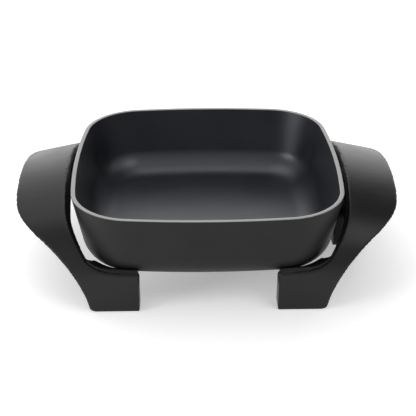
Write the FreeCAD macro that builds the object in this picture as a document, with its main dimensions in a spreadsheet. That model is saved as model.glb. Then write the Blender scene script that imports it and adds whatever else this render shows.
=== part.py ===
import FreeCAD, Part
import math
import os
import re
import Sketcher

# Electric skillet: a bow-sided square cast pan carried by two arched handle and
# leg mouldings, with a sheathed element cast into its underside.
# Millimetres. The floor is Z = 0, the pan's centre is X = Y = 0, +Y is the back.

SIZES = [
    ("rim_half", 140.0, "half width of the pan over its rim"),
    ("rim_height", 107.5, "rim above the floor"),
    ("side_bow", 800.0, "radius of the rim's bowed sides"),
    ("rim_corner", 64.0, "radius of the rim's corners"),
    ("rim_land", 4.5, "width of the bare rim land"),
    ("pan_depth", 75.5, "outside depth of the pan"),
    ("pan_floor", 5.0, "thickness of the pan's floor"),
    ("wall_draft", 10.7, "outside draft of the wall, degrees"),
    ("inner_draft", 11.2, "inside draft of the wall, degrees"),
    ("outer_bottom", 33.5, "outside radius between wall and floor"),
    ("inner_bottom", 29.0, "inside radius between wall and floor"),
    ("ridge_radius", 7.0, "half round ridge over the element"),
    ("element_drop", 1.5, "element centre line below the pan's underside"),
    ("loop_in", 60.0, "element's loop inside the rim"),
    ("loop_bend", 24.0, "bend radius of the element's loop"),
    ("sheath_radius", 4.2, "outside radius of the element's sheath"),
    ("sheath_wall", 0.7, "wall of the element's sheath"),
    ("coil_radius", 1.5, "radius of the element's wound core"),
    ("terminal_half", 15.0, "half spacing of the two terminal pins"),
    ("pin_radius", 2.4, "radius of a terminal pin's contact length"),
    ("pin_neck", 0.5, "terminal pin's neck inside its contact radius"),
    ("pin_tip", 1.0, "height of the tapered tip of a pin"),
    ("pin_reach", 24.0, "length of a pin past the boss's face"),
    ("pin_inside", 22.0, "length of a pin inside the sheath"),
    ("seal_length", 3.0, "length of the seal in each sheath end"),
    ("bush_length", 4.0, "length of the insulating bush on each pin"),
    ("bush_radius", 5.2, "outside radius of the insulating bush"),
    ("boss_setback", 3.0, "terminal boss's outer face inside the rim"),
    ("boss_length", 38.0, "length of the terminal boss"),
    ("boss_half", 27.0, "half width of the terminal boss"),
    ("boss_height", 24.0, "height of the terminal boss"),
    ("boss_below", 8.0, "terminal boss below the pan's underside"),
    ("boss_corner", 5.0, "corner radius of the terminal boss"),
    ("well_bore", 3.4, "bore radius of the sensor well"),
    ("well_wall", 0.8, "wall of the sensor well"),
    ("well_length", 36.0, "length of the sensor well"),
    ("foot_boss_in_x", 56.0, "pan's mounting bosses inside the rim, across"),
    ("foot_boss_in_y", 29.5, "pan's mounting bosses inside the rim, front to back"),
    ("foot_boss_radius", 8.5, "radius of a mounting boss"),
    ("foot_boss_fuse", 16.0, "height of a mounting boss, run up into the pan"),
    ("spacer", 1.5, "thickness of the spacers on the ledges"),
    ("handle_gap", 5.7, "gap between the rim and the mouldings"),
    ("nest_gap", 2.0, "gap between the pan's lower curve and the legs"),
    ("lip_drop", 65.0, "lip of each leg, outside the pan's curve, below the rim"),
    ("lip_blend", 16.0, "radius between the lip and the gap's wall"),
    ("rebate", 3.7, "return wall round the opening, nearer the pan than the face's edge"),
    ("arch_in", 10.5, "front of a moulding inside the rim"),
    ("crown_out", 3.0, "line where a moulding's crown is level with the rim, beyond it"),
    ("crown_radius", 200.0, "radius of the arch over the handle"),
    ("shoulder_radius", 80.0, "radius of the arch's shoulders"),
    ("droop_angle", 12.0, "fall of the moulding outwards, degrees"),
    ("flange", 20.0, "depth of the moulding's return flanges"),
    ("skin", 3.0, "wall of the mouldings"),
    ("foot_in", 71.0, "inner end of a foot inside the rim"),
    ("foot_corner", 6.0, "radius of the foot's lower outer corner"),
    ("grip_out", 57.5, "outer edge of the handle beyond the rim"),
    ("grip_round", 16.0, "radius under the handle's outer edge"),
    ("grip_drop", 12.0, "centre of the radius under the edge below the rim"),
    ("under_slope", 28.0, "slope of the line under the handle, degrees"),
    ("sweep_radius", 92.0, "radius of the leg's outer sweep"),
    ("sweep_in", 21.4, "outer end of the leg's sweep at the floor, inside the rim"),
    ("trim_above", 24.0, "height of the trimming outlines above the rim"),
    ("leg_below", 12.0, "length of the arch's legs below the floor"),
    ("rib", 2.0, "thickness of the stiffening ribs"),
    ("rib_depth", 11.0, "depth of the ribs below the skin"),
    ("rib_pitch", 34.0, "spacing of the ribs under the handle"),
    ("leg_rib_in", 38.0, "rib in each leg inside the rim"),
    ("seat_depth", 8.0, "thickness of the screw seats under the bosses"),
    ("seat_wall", 2.0, "wall of the cup round each boss"),
    ("seat_cup", 13.0, "height of the cup above its seat, trimmed by the nest"),
    ("boss_clear", 0.7, "clearance round a mounting boss in its cup"),
    ("access_radius", 6.5, "radius of the driver hole in each foot"),
    ("screw_radius", 2.5, "radius of the fastening screws"),
    ("screw_clear", 0.3, "clearance round a screw's shank"),
    ("screw_grip", 6.0, "thread length in the pan's boss"),
    ("head_radius", 4.5, "radius of a screw's head"),
    ("head_height", 3.2, "height of a screw's head"),
    ("washer", 1.0, "thickness of a lock washer"),
    ("washer_radius", 5.0, "outside radius of a lock washer"),
    ("guard_reach", 30.0, "reach of the terminal guard past its back"),
    ("guard_half", 33.0, "half width of the terminal guard"),
    ("guard_below", 16.5, "underside of the terminal guard below the pins"),
    ("guard_above", 27.5, "top of the terminal guard above the pins"),
    ("guard_wall", 1.6, "sheet thickness of the terminal guard"),
    ("guard_corner", 9.0, "corner radius of the terminal guard"),
    ("guard_screw_y", 22.5, "guard screws from the centre"),
    ("guard_screw_up", 12.5, "guard screws above the pins"),
    ("guard_screw_radius", 1.75, "radius of the guard's screws"),
    ("guard_screw_grip", 9.0, "length of a guard screw in the boss"),
    ("guard_head_radius", 3.2, "radius of a guard screw's head"),
    ("guard_head_height", 2.2, "height of a guard screw's head"),
    ("guard_hole_clear", 0.3, "clearance round pins and bushes in the guard"),
]
ALIASES = {name for name, value, note in SIZES}

# Places worked out from the sizes, so that each piece follows the pan.
PLACES = {
    "underside": "rim_height - pan_depth",
    "element_z": "underside - element_drop",
    "ledge_height": "underside - nest_gap",
    "lip_height": "rim_height - lip_drop",
    "seat_z": "ledge_height - seat_depth",
    "outline_top": "rim_height + trim_above",
    "boss_face": "rim_half - boss_setback",
    "foot_boss_x": "rim_half - foot_boss_in_x",
    "foot_boss_y": "rim_half - foot_boss_in_y",
    "foot_inner": "rim_half - foot_in",
    "foot_outer": "rim_half - sweep_in",
    "leg_rib_x": "rim_half - leg_rib_in",
    "loop_half": "rim_half - loop_in",
    "arch_half": "rim_half - arch_in",
    "crown_line": "rim_half + crown_out",
    "grip_reach": "rim_half + grip_out",
    "grip_round_z": "rim_height - grip_drop",
    "droop": "tan(droop_angle * 1 deg)",
    "guard_low": "element_z - guard_below",
    "guard_high": "element_z + guard_above",
}

doc = FreeCAD.newDocument("electric_skillet")
sheet = doc.addObject("Spreadsheet::Sheet", "Sizes")


def fill_sheet():
    for row, (name, value, note) in enumerate(SIZES, start=1):
        sheet.set("A%d" % row, name)
        sheet.set("B%d" % row, repr(value))
        sheet.set("C%d" % row, note)
        sheet.setAlias("B%d" % row, name)
    doc.recompute()


def formula(text):
    """Names in the text that are places or cells become formulas on the sheet."""
    def spell(match):
        word = match.group(0)
        if word in PLACES:
            return "(" + formula(PLACES[word]) + ")"
        return "Sizes." + word if word in ALIASES else word
    return re.sub(r"[a-z][a-z_0-9]*", spell, text)


def size(text):
    return float(sheet.evalExpression(formula(text)))


def bind(thing, **sizes):
    for prop, text in sizes.items():
        thing.setExpression(prop.replace("__", "."), formula(text))


def place(thing, **axes):
    for axis, text in axes.items():
        thing.setExpression("Placement.Base." + axis, formula(text))


def body(name):
    made = doc.addObject("PartDesign::Body", name)
    made.Label = name
    return made


def sketch_on(owner, name, role, lift="0"):
    made = owner.newObject("Sketcher::SketchObject", name)
    plane = next(f for f in owner.Origin.OriginFeatures if f.Role == role)
    made.AttachmentSupport = [(plane, "")]
    made.MapMode = "FlatFace"
    made.setExpression("AttachmentOffset.Base.z", formula(lift))
    doc.recompute()
    return made


def fix(sketch, text, *args):
    """A driving dimension whose value is the formula."""
    index = sketch.addConstraint(Sketcher.Constraint(*args, size(text)))
    sketch.setExpression("Constraints[%d]" % index, formula(text))


def arc(sketch, cx, cy, radius, start, end):
    ring = Part.Circle(FreeCAD.Vector(cx, cy, 0), FreeCAD.Vector(0, 0, 1), radius)
    return sketch.addGeometry(Part.ArcOfCircle(ring, start, end), False)


def line(sketch, x1, y1, x2, y2):
    return sketch.addGeometry(
        Part.LineSegment(FreeCAD.Vector(x1, y1, 0), FreeCAD.Vector(x2, y2, 0)), False)


def circle(sketch, radius):
    made = sketch.addGeometry(
        Part.Circle(FreeCAD.Vector(0, 0, 0), FreeCAD.Vector(0, 0, 1), size(radius)), False)
    fix(sketch, radius, "Radius", made)
    sketch.addConstraint(Sketcher.Constraint("Coincident", made, 3, -1, 1))


def bow_square(sketch, half):
    """Square with bowed sides and round corners, parallel to the rim's outline."""
    bow = "side_bow - rim_half + (%s)" % half
    corner = "rim_corner - rim_half + (%s)" % half
    shift = size("side_bow - rim_half")
    span = size("side_bow - rim_corner")
    corner_at = (math.sqrt(2 * span ** 2 - shift ** 2) - shift) / 2
    turn = math.atan2(corner_at, corner_at + shift)
    quarter = math.pi / 2
    sides = []
    corners = []
    for k in range(4):
        c, s = round(math.cos(k * quarter)), round(math.sin(k * quarter))
        sides.append(arc(sketch, -shift * c, -shift * s, size(bow),
                         k * quarter - turn, k * quarter + turn))
        corners.append(arc(sketch, corner_at * (c - s), corner_at * (s + c), size(corner),
                           k * quarter + turn, (k + 1) * quarter - turn))
    for k in range(4):
        sketch.addConstraint(Sketcher.Constraint("Tangent", sides[k], 2, corners[k], 1))
        sketch.addConstraint(Sketcher.Constraint("Tangent", corners[k], 2, sides[(k + 1) % 4], 1))
        sketch.addConstraint(Sketcher.Constraint("PointOnObject", sides[k], 3, -1 - k % 2))
        if k:
            sketch.addConstraint(Sketcher.Constraint("Equal", sides[0], sides[k]))
            sketch.addConstraint(Sketcher.Constraint("Equal", corners[0], corners[k]))
    fix(sketch, bow, "Radius", sides[0])
    fix(sketch, corner, "Radius", corners[0])
    fix(sketch, "rim_half - side_bow", "DistanceX", -1, 1, sides[0], 3)
    fix(sketch, "rim_half - side_bow", "DistanceY", -1, 1, sides[1], 3)
    fix(sketch, "side_bow - rim_half", "DistanceX", -1, 1, sides[2], 3)
    fix(sketch, "side_bow - rim_half", "DistanceY", -1, 1, sides[3], 3)


def tapered(owner, kind, name, sketch, depth, draft):
    """Pad or pocket that runs down from the sketch and narrows by the draft."""
    made = owner.newObject("PartDesign::" + kind, name)
    made.Profile = sketch
    made.Length = size(depth)
    bind(made, Length=depth)
    made.Reversed = kind == "Pad"
    made.TaperAngle = -size(draft)
    bind(made, TaperAngle="-(%s)" % draft)
    doc.recompute()
    return made


def round_loop(owner, name, base, radius, height):
    """Fillet on every edge of the solid that lies wholly at the height."""
    edges = ["Edge%d" % (i + 1) for i, e in enumerate(base.Shape.Edges)
             if abs(e.BoundBox.ZMin - height) < 0.01 and abs(e.BoundBox.ZMax - height) < 0.01]
    made = owner.newObject("PartDesign::Fillet", name)
    made.Base = (base, edges)
    made.Radius = size(radius)
    bind(made, Radius=radius)
    doc.recompute()
    return made


def pad(owner, name, sketch, length, both_ways=False):
    made = owner.newObject("PartDesign::Pad", name)
    made.Profile = sketch
    if both_ways:
        made.SideType = "Symmetric"
    bind(made, Length=length)
    doc.recompute()
    return made


def cylinder(name, radius, height, turned=False, **at):
    """Cylinder along +Z, or along +X when turned."""
    made = doc.addObject("Part::Cylinder", name)
    if turned:
        made.Placement.Rotation = FreeCAD.Rotation(FreeCAD.Vector(0, 1, 0), 90)
    bind(made, Radius=radius, Height=height)
    place(made, **at)
    return made


def cone(name, base, end, height, **at):
    """Tapered end along +X."""
    made = doc.addObject("Part::Cone", name)
    made.Placement.Rotation = FreeCAD.Rotation(FreeCAD.Vector(0, 1, 0), 90)
    bind(made, Radius1=base, Radius2=end, Height=height)
    place(made, **at)
    return made


def box(name, length, width, height, **at):
    made = doc.addObject("Part::Box", name)
    bind(made, Length=length, Width=width, Height=height)
    place(made, **at)
    return made


def fuse(name, things):
    made = doc.addObject("Part::MultiFuse", name)
    made.Shapes = things
    made.Label = name
    doc.recompute()
    return made


def cut(name, base, tool):
    made = doc.addObject("Part::Cut", name)
    made.Base = base
    made.Tool = tool
    made.Label = name
    doc.recompute()
    return made


def common(name, things):
    made = doc.addObject("Part::MultiCommon", name)
    made.Shapes = things
    made.Label = name
    doc.recompute()
    return made


def group(name, things):
    """Separate solids kept as one node."""
    made = doc.addObject("Part::Compound", name)
    made.Links = things
    made.Label = name
    doc.recompute()
    return made


def ring(name, radius, bore, height, turned=False, **at):
    outer = cylinder(name + "_outer", radius, height, turned, **at)
    inner = cylinder(name + "_bore", bore, height, turned, **at)
    return cut(name, outer, inner)


CORNERS = [("front_left", "-", "-"), ("front_right", "", "-"),
           ("back_left", "-", ""), ("back_right", "", "")]


def bow_pan(name, half, depth, draft, radius):
    """Drafted, bow-sided solid from the rim down, round where wall meets floor."""
    made = body(name)
    outline = sketch_on(made, name + "_outline", "XY_Plane", "rim_height")
    bow_square(outline, half)
    walls = tapered(made, "Pad", name + "_walls", outline, depth, draft)
    round_loop(made, name + "_round", walls, radius, size("rim_height - (%s)" % depth))
    return made


def loop_path(owner, name, reach):
    """Element's centre line: in from one terminal, round the loop, out at the other."""
    path = sketch_on(owner, name, "XY_Plane", "element_z")
    end, near, half, bend = size(reach), size("terminal_half"), size("loop_half"), size("loop_bend")
    quarter = math.pi / 2
    turn = near + bend
    inside = half - bend
    runs = [
        line(path, end, near, half + bend, near),
        arc(path, half + bend, turn, bend, 2 * quarter, 3 * quarter),
        line(path, half, turn, half, inside),
        arc(path, inside, inside, bend, 0, quarter),
        line(path, inside, half, -inside, half),
        arc(path, -inside, inside, bend, quarter, 2 * quarter),
        line(path, -half, inside, -half, -inside),
        arc(path, -inside, -inside, bend, 2 * quarter, 3 * quarter),
        line(path, -inside, -half, inside, -half),
        arc(path, inside, -inside, bend, 3 * quarter, 4 * quarter),
        line(path, half, -inside, half, -turn),
        arc(path, half + bend, -turn, bend, quarter, 2 * quarter),
        line(path, half + bend, -near, end, -near),
    ]
    ends = {1: (2, 1), 3: (1, 2), 5: (1, 2), 7: (1, 2), 9: (1, 2), 11: (2, 1)}
    for k, (first, last) in ends.items():
        path.addConstraint(Sketcher.Constraint("Tangent", runs[k - 1], 2, runs[k], first))
        path.addConstraint(Sketcher.Constraint("Tangent", runs[k], last, runs[k + 1], 1))
        if k > 1:
            path.addConstraint(Sketcher.Constraint("Equal", runs[1], runs[k]))
    for k in (0, 4, 8, 12):
        path.addConstraint(Sketcher.Constraint("Horizontal", runs[k]))
    for k in (2, 6, 10):
        path.addConstraint(Sketcher.Constraint("Vertical", runs[k]))
    fix(path, "loop_bend", "Radius", runs[1])
    fix(path, reach, "DistanceX", -1, 1, runs[0], 1)
    fix(path, reach, "DistanceX", -1, 1, runs[12], 2)
    fix(path, "terminal_half", "DistanceY", -1, 1, runs[0], 1)
    fix(path, "-terminal_half", "DistanceY", -1, 1, runs[12], 2)
    fix(path, "loop_half", "DistanceX", -1, 1, runs[2], 1)
    fix(path, "-loop_half", "DistanceX", -1, 1, runs[6], 1)
    fix(path, "loop_half", "DistanceX", -1, 1, runs[10], 1)
    fix(path, "loop_half", "DistanceY", -1, 1, runs[4], 1)
    fix(path, "-loop_half", "DistanceY", -1, 1, runs[8], 1)
    doc.recompute()
    return path


def loop_rod(name, radius, reach):
    """Round bar of the radius along the element's centre line."""
    made = body(name)
    path = loop_path(made, name + "_path", reach)
    section = sketch_on(made, name + "_section", "YZ_Plane", reach)
    section.setExpression("AttachmentOffset.Base.x", formula("terminal_half"))
    section.setExpression("AttachmentOffset.Base.y", formula("element_z"))
    circle(section, radius)
    doc.recompute()
    pipe = made.newObject("PartDesign::AdditivePipe", name + "_pipe")
    pipe.Profile = section
    pipe.Spine = path
    doc.recompute()
    return made


def round_box(name, half, low, high, corner, start, length):
    """Block along X with round edges, as wide as twice the half width."""
    made = body(name)
    face = sketch_on(made, name + "_face", "YZ_Plane", start)
    w, z0, z1, r = size(half), size(low), size(high), size(corner)
    quarter = math.pi / 2
    runs = [
        line(face, -w + r, z0, w - r, z0),
        arc(face, w - r, z0 + r, r, 3 * quarter, 4 * quarter),
        line(face, w, z0 + r, w, z1 - r),
        arc(face, w - r, z1 - r, r, 0, quarter),
        line(face, w - r, z1, -w + r, z1),
        arc(face, -w + r, z1 - r, r, quarter, 2 * quarter),
        line(face, -w, z1 - r, -w, z0 + r),
        arc(face, -w + r, z0 + r, r, 2 * quarter, 3 * quarter),
    ]
    for k in range(8):
        face.addConstraint(Sketcher.Constraint("Tangent", runs[k], 2, runs[(k + 1) % 8], 1))
    for k in (3, 5, 7):
        face.addConstraint(Sketcher.Constraint("Equal", runs[1], runs[k]))
    for k in (0, 4):
        face.addConstraint(Sketcher.Constraint("Horizontal", runs[k]))
    for k in (2, 6):
        face.addConstraint(Sketcher.Constraint("Vertical", runs[k]))
    fix(face, corner, "Radius", runs[1])
    fix(face, half, "DistanceX", -1, 1, runs[2], 1)
    fix(face, "-(%s)" % half, "DistanceX", -1, 1, runs[6], 1)
    fix(face, low, "DistanceY", -1, 1, runs[0], 1)
    fix(face, high, "DistanceY", -1, 1, runs[4], 1)
    pad(made, name + "_pad", face, length)
    return made


def make_pan(sheath):
    """Cast pan with the element's ridge, the terminal boss and four mounting bosses."""
    outer = bow_pan("pan_outer", "rim_half", "pan_depth", "wall_draft", "outer_bottom")
    cavity = bow_pan("pan_cavity", "rim_half - rim_land", "pan_depth - pan_floor",
                     "inner_draft", "inner_bottom")
    ridge = loop_rod("ridge", "ridge_radius", "boss_face - boss_corner")
    boss = round_box("terminal_boss", "boss_half", "underside - boss_below",
                     "underside - boss_below + boss_height", "boss_corner",
                     "boss_face - boss_length", "boss_length")
    bosses = [cylinder("boss_" + name, "foot_boss_radius", "foot_boss_fuse",
                       x=sx + "foot_boss_x", y=sy + "foot_boss_y", z="ledge_height + spacer")
              for name, sx, sy in CORNERS]
    holes = [cylinder("tapping_" + name, "screw_radius", "screw_grip",
                      x=sx + "foot_boss_x", y=sy + "foot_boss_y", z="ledge_height + spacer")
             for name, sx, sy in CORNERS]
    guard_holes = [cylinder("guard_tapping_" + name, "guard_screw_radius", "guard_screw_grip", True,
                            x="boss_face - guard_screw_grip", y=sign + "guard_screw_y",
                            z="element_z + guard_screw_up")
                   for name, sign in (("front", "-"), ("back", ""))]
    well = cylinder("well_hole", "well_bore + well_wall", "well_length", True,
                    x="boss_face - well_length", z="element_z")
    casting = fuse("pan_casting", [outer, ridge, boss] + bosses)
    tools = fuse("pan_tools", [cavity, sheath, well] + holes + guard_holes)
    return cut("pan", casting, tools)


def make_element():
    """Sheath, packed insulation, wound core and the two cold pins with seals and bushes."""
    bore = "sheath_radius - sheath_wall"
    sheath_solid = loop_rod("sheath_solid", "sheath_radius", "boss_face")
    sheath = cut("element_sheath", sheath_solid, loop_rod("sheath_bore", bore, "boss_face"))
    packed = loop_rod("packed", bore, "boss_face - seal_length")
    core = loop_rod("element_coil", "coil_radius", "boss_face - pin_inside")
    pins = []
    pieces = [sheath, core]
    for name, sign in (("front", "-"), ("rear", "")):
        at = {"y": sign + "terminal_half", "z": "element_z"}
        neck = cylinder("pin_neck_" + name, "pin_radius - pin_neck", "pin_inside + bush_length",
                        True, x="boss_face - pin_inside", **at)
        contact = cylinder("pin_contact_" + name, "pin_radius",
                           "pin_reach - bush_length - pin_tip", True,
                           x="boss_face + bush_length", **at)
        tip = cone("pin_tip_" + name, "pin_radius", "pin_radius - pin_tip", "pin_tip",
                   x="boss_face + pin_reach - pin_tip", **at)
        pin = fuse("terminal_pin_" + name, [neck, contact, tip])
        pins.append(pin)
        seal = ring("terminal_seal_" + name, bore, "pin_radius - pin_neck", "seal_length", True,
                    x="boss_face - seal_length", **at)
        bush = ring("terminal_bush_" + name, "bush_radius", "pin_radius - pin_neck",
                    "bush_length", True, x="boss_face", **at)
        pieces += [pin, seal, bush]
    pieces.append(cut("element_insulation", packed, fuse("insulation_bore", [core] + pins)))
    return sheath_solid, pieces


def make_sensor_well():
    outer = cylinder("well_outer", "well_bore + well_wall", "well_length + guard_wall", True,
                     x="boss_face - well_length", z="element_z")
    inner = cylinder("well_inner", "well_bore", "well_length + guard_wall - well_wall", True,
                     x="boss_face - well_length + well_wall", z="element_z")
    return cut("sensor_well", outer, inner)


def make_guard():
    """Pressed shroud round the terminals, open at its outer end, with its two screws."""
    shell = round_box("guard_shell", "guard_half", "guard_low", "guard_high", "guard_corner",
                      "boss_face", "guard_wall + guard_reach")
    room = round_box("guard_room", "guard_half - guard_wall", "guard_low + guard_wall",
                     "guard_high - guard_wall", "guard_corner - guard_wall",
                     "boss_face + guard_wall", "guard_reach")
    holes = [cylinder("guard_well_hole", "well_bore + well_wall + guard_hole_clear", "guard_wall",
                      True, x="boss_face", z="element_z")]
    screws = []
    for name, sign in (("front", "-"), ("back", "")):
        holes.append(cylinder("guard_bush_hole_" + name, "bush_radius + guard_hole_clear",
                              "guard_wall", True, x="boss_face", y=sign + "terminal_half",
                              z="element_z"))
        at = {"y": sign + "guard_screw_y", "z": "element_z + guard_screw_up"}
        holes.append(cylinder("guard_screw_hole_" + name, "guard_screw_radius + guard_hole_clear",
                              "guard_wall", True, x="boss_face", **at))
        shank = cylinder("guard_shank_" + name, "guard_screw_radius",
                         "guard_screw_grip + guard_wall", True, x="boss_face - guard_screw_grip", **at)
        head = cylinder("guard_head_" + name, "guard_head_radius", "guard_head_height", True,
                        x="boss_face + guard_wall", **at)
        screws.append(fuse("guard_screw_" + name, [shank, head]))
    guard = cut("terminal_guard", cut("guard_open", shell, room), fuse("guard_holes", holes))
    return [guard, group("guard_screws", screws)]


def arch_contour(sketch, inset):
    """One side of the arch: leg, shoulder, crown, shoulder, leg. Returns its two leg lines."""
    half, crown = size("arch_half - (%s)" % inset), size("crown_radius - (%s)" % inset)
    shoulder = size("shoulder_radius - (%s)" % inset)
    crown_z = size("rim_height - crown_radius")
    out = size("arch_half - shoulder_radius")
    up = crown_z + math.sqrt(size("crown_radius - shoulder_radius") ** 2 - out ** 2)
    lean = math.atan2(out, up - crown_z)
    low = -size("leg_below") - size("droop * (crown_line - foot_inner)")
    top = math.pi / 2
    right = line(sketch, half, low, half, up)
    first = arc(sketch, out, up, shoulder, 0, top - lean)
    middle = arc(sketch, 0, crown_z, crown, top - lean, top + lean)
    second = arc(sketch, -out, up, shoulder, top + lean, 2 * top)
    left = line(sketch, -half, up, -half, low)
    runs = [right, first, middle, second, left]
    for before, after in zip(runs, runs[1:]):
        sketch.addConstraint(Sketcher.Constraint("Tangent", before, 2, after, 1))
    sketch.addConstraint(Sketcher.Constraint("Vertical", right))
    sketch.addConstraint(Sketcher.Constraint("Vertical", left))
    sketch.addConstraint(Sketcher.Constraint("Equal", first, second))
    sketch.addConstraint(Sketcher.Constraint("PointOnObject", middle, 3, -2))
    fix(sketch, "shoulder_radius - (%s)" % inset, "Radius", first)
    fix(sketch, "crown_radius - (%s)" % inset, "Radius", middle)
    fix(sketch, "rim_height - crown_radius", "DistanceY", -1, 1, middle, 3)
    fix(sketch, "arch_half - (%s)" % inset, "DistanceX", -1, 1, right, 1)
    fix(sketch, "(%s) - arch_half" % inset, "DistanceX", -1, 1, left, 2)
    depth = "-leg_below - droop * (crown_line - foot_inner)"
    fix(sketch, depth, "DistanceY", -1, 1, right, 1)
    fix(sketch, depth, "DistanceY", -1, 1, left, 2)
    return right, left


def arch_slab(name, near, far):
    """Arch between two insets from the outer skin, run outwards along the droop."""
    made = body(name)
    profile = sketch_on(made, name + "_profile", "YZ_Plane", "foot_inner")
    profile.setExpression("AttachmentOffset.Base.y", formula("droop * (crown_line - foot_inner)"))
    outer = arch_contour(profile, near)
    inner = arch_contour(profile, far)
    for (a, a_end), (b, b_end) in (((outer[0], 1), (inner[0], 1)), ((outer[1], 2), (inner[1], 2))):
        start, end = profile.getPoint(a, a_end), profile.getPoint(b, b_end)
        foot = line(profile, start.x, start.y, end.x, end.y)
        profile.addConstraint(Sketcher.Constraint("Coincident", foot, 1, a, a_end))
        profile.addConstraint(Sketcher.Constraint("Coincident", foot, 2, b, b_end))
    doc.recompute()
    run = made.newObject("PartDesign::Pad", name + "_run")
    run.Profile = profile
    run.UseCustomVector = True
    run.AlongSketchNormal = True
    run.Direction = FreeCAD.Vector(1, 0, -size("droop"))
    run.setExpression("Direction.z", formula("-droop"))
    bind(run, Length="grip_reach - foot_inner + skin")
    doc.recompute()
    return made


def outline_centres():
    """Centres of the handle's end round, the leg's sweep and the foot's corner."""
    slope = math.radians(size("under_slope"))
    along = (math.cos(slope), math.sin(slope))
    across = (math.sin(slope), -math.cos(slope))
    end = (size("grip_reach - grip_round"), size("grip_round_z"))
    touch = [end[k] + size("grip_round") * across[k] for k in (0, 1)]
    foot = (size("foot_outer"), 0.0)
    sweep_r = size("sweep_radius")
    drop = sum((foot[k] - touch[k]) * across[k] for k in (0, 1))
    run = sum((foot[k] - touch[k]) * along[k] for k in (0, 1))
    run += math.sqrt(sweep_r ** 2 - (sweep_r - drop) ** 2)
    sweep = [touch[k] + run * along[k] + sweep_r * across[k] for k in (0, 1)]
    corner_z = size("foot_corner")
    corner_x = sweep[0] - math.sqrt((sweep_r + corner_z) ** 2 - (corner_z - sweep[1]) ** 2)
    return end, sweep, (corner_x, corner_z), slope


def front_outline(name, inset):
    """Moulding seen from the front: foot, swept leg, sloping underside, rounded outer edge."""
    made = body(name)
    face = sketch_on(made, name + "_face", "XZ_Plane")
    end, sweep, corner, slope = outline_centres()
    gap = size(inset)
    left, right = size("foot_inner") + gap, size("grip_reach") - gap
    top = size("outline_top")
    aim = math.atan2(sweep[1] - corner[1], sweep[0] - corner[0])
    corner_r, sweep_r = size("foot_corner") - gap, size("sweep_radius") + gap
    end_r = size("grip_round") - gap
    lean = slope + math.pi / 2
    low = (sweep[0] + sweep_r * math.cos(lean), sweep[1] + sweep_r * math.sin(lean))
    high = (end[0] - end_r * math.cos(lean), end[1] - end_r * math.sin(lean))
    runs = [
        line(face, left, gap, corner[0], gap),
        arc(face, corner[0], corner[1], corner_r, -math.pi / 2, aim),
        arc(face, sweep[0], sweep[1], sweep_r, lean, aim + math.pi),
        line(face, low[0], low[1], high[0], high[1]),
        arc(face, end[0], end[1], end_r, slope - math.pi / 2, 0),
        line(face, right, end[1], right, top),
        line(face, right, top, left, top),
        line(face, left, top, left, gap),
    ]
    joints = [(0, 2, 1, 1), (1, 2, 2, 2), (2, 1, 3, 1), (3, 2, 4, 1), (4, 2, 5, 1)]
    for first, first_end, second, second_end in joints:
        face.addConstraint(Sketcher.Constraint("Tangent", runs[first], first_end,
                                               runs[second], second_end))
    for first, second in ((5, 6), (6, 7), (7, 0)):
        face.addConstraint(Sketcher.Constraint("Coincident", runs[first], 2, runs[second], 1))
    for k in (0, 6):
        face.addConstraint(Sketcher.Constraint("Horizontal", runs[k]))
    for k in (5, 7):
        face.addConstraint(Sketcher.Constraint("Vertical", runs[k]))
    fix(face, "foot_corner - (%s)" % inset, "Radius", runs[1])
    fix(face, "sweep_radius + (%s)" % inset, "Radius", runs[2])
    fix(face, "grip_round - (%s)" % inset, "Radius", runs[4])
    face.addConstraint(Sketcher.Constraint("DistanceX", -1, 1, runs[2], 3, sweep[0]))
    face.addConstraint(Sketcher.Constraint("DistanceY", -1, 1, runs[2], 3, sweep[1]))
    fix(face, "grip_round_z", "DistanceY", -1, 1, runs[4], 3)
    fix(face, "grip_reach - (%s)" % inset, "DistanceX", -1, 1, runs[5], 1)
    fix(face, "outline_top", "DistanceY", -1, 1, runs[6], 1)
    fix(face, "foot_inner + (%s)" % inset, "DistanceX", -1, 1, runs[7], 1)
    fix(face, inset, "DistanceY", -1, 1, runs[0], 1)
    pad(made, name + "_run", face, "2 * arch_half + 2 * skin", both_ways=True)
    return made


def pan_room(name, gap):
    """Room for the pan: the rim's outline and the gap down to the lip, then a nest to the pan's curve."""
    made = body(name + "_walls")
    low = size("lip_height - (%s)" % gap)
    outline = sketch_on(made, name + "_outline", "XY_Plane", "outline_top")
    bow_square(outline, "rim_half + handle_gap + (%s)" % gap)
    doc.recompute()
    drop = made.newObject("PartDesign::Pad", name + "_drop")
    drop.Profile = outline
    bind(drop, Length="outline_top - lip_height + (%s)" % gap)
    drop.Reversed = True
    doc.recompute()
    round_loop(made, name + "_round", drop, "lip_blend + (%s)" % gap, low)
    clear = "nest_gap + max(0; %s)" % gap
    nest = bow_pan(name + "_nest", "rim_half + " + clear, "pan_depth + " + clear, "wall_draft",
                   "outer_bottom + " + clear)
    return fuse(name, [made, nest])


def moulding_layer(name, near, far, outline, room):
    slab = arch_slab(name + "_slab", near, far)
    return cut(name, common(name + "_trimmed", [slab, outline]), room)


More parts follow.
